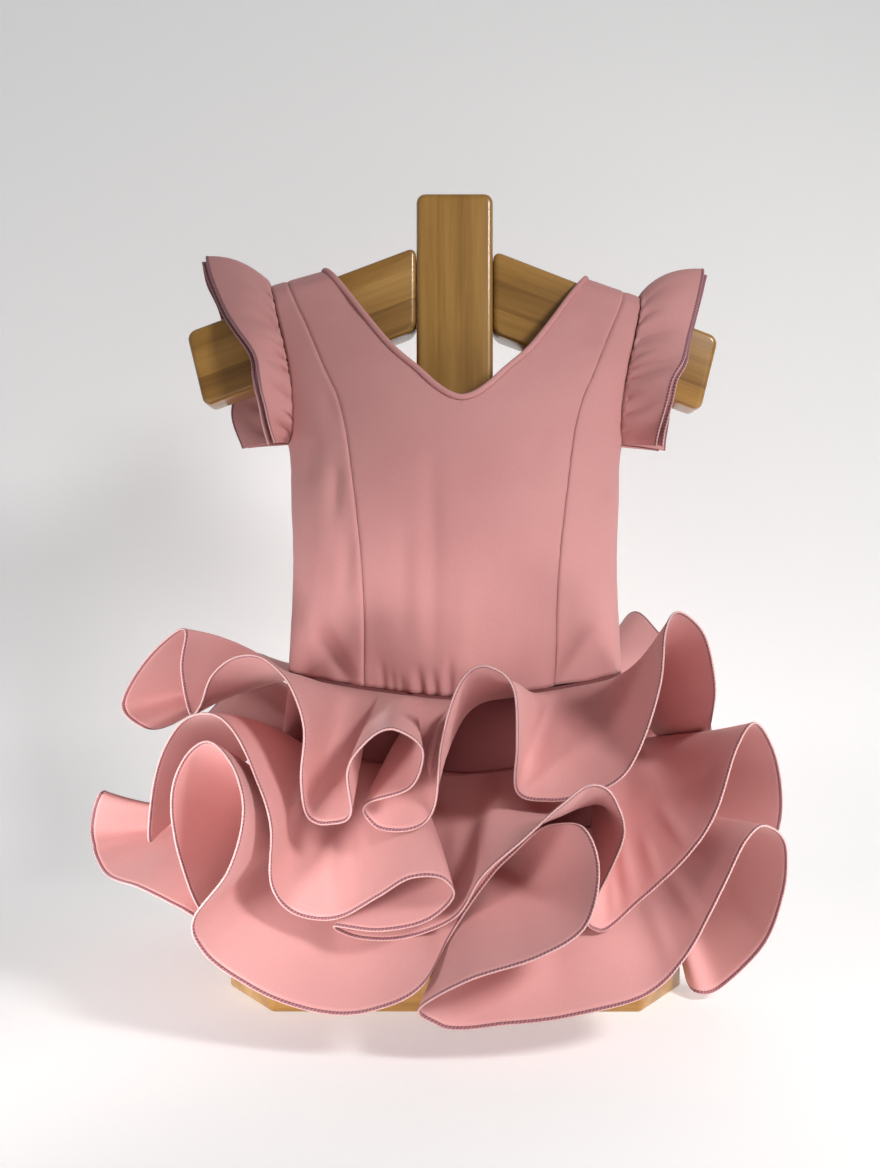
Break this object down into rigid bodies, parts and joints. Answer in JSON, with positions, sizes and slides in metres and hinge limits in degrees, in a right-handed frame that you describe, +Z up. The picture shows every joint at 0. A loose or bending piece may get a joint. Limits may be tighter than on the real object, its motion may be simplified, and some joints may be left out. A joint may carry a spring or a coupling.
{
  "type": "flamenco dress on a wooden stand",
  "caption": "Small child's flamenco dress in plain rose crepe, with a V neck, flutter sleeves and tiers of deep fluted flounces, on a varnished wooden display stand.",
  "frame": {"origin": "middle of the underside of the stand's base, on the floor", "axes": "+Z up along the post, the dress faces -Y, +X to the right as seen from the front"},
  "size_m": [0.4401, 0.4093, 0.518],
  "materials": {
    "rose_crepe": "matte crepe",
    "stand_wood": "gloss varnish"
  },
  "bodies": {
    "root": {"front_centre": "rose_crepe", "side_front_left": "rose_crepe", "side_front_right": "rose_crepe", "side_back_left": "rose_crepe", "side_back_right": "rose_crepe", "centre_back_left": "rose_crepe", "centre_back_right": "rose_crepe", "neck_binding": "rose_crepe", "sleeve_upper_left": "rose_crepe", "sleeve_upper_right": "rose_crepe", "sleeve_under_left": "rose_crepe", "sleeve_under_right": "rose_crepe", "underskirt": "rose_crepe", "flounce_1_front": "rose_crepe", "flounce_1_back": "rose_crepe", "flounce_2_front": "rose_crepe", "flounce_2_back": "rose_crepe", "flounce_3_front": "rose_crepe", "flounce_3_back": "rose_crepe", "stand_post": "stand_wood", "stand_arm_left": "stand_wood", "stand_arm_right": "stand_wood", "stand_base": "stand_wood"}
  },
  "joints": []
}
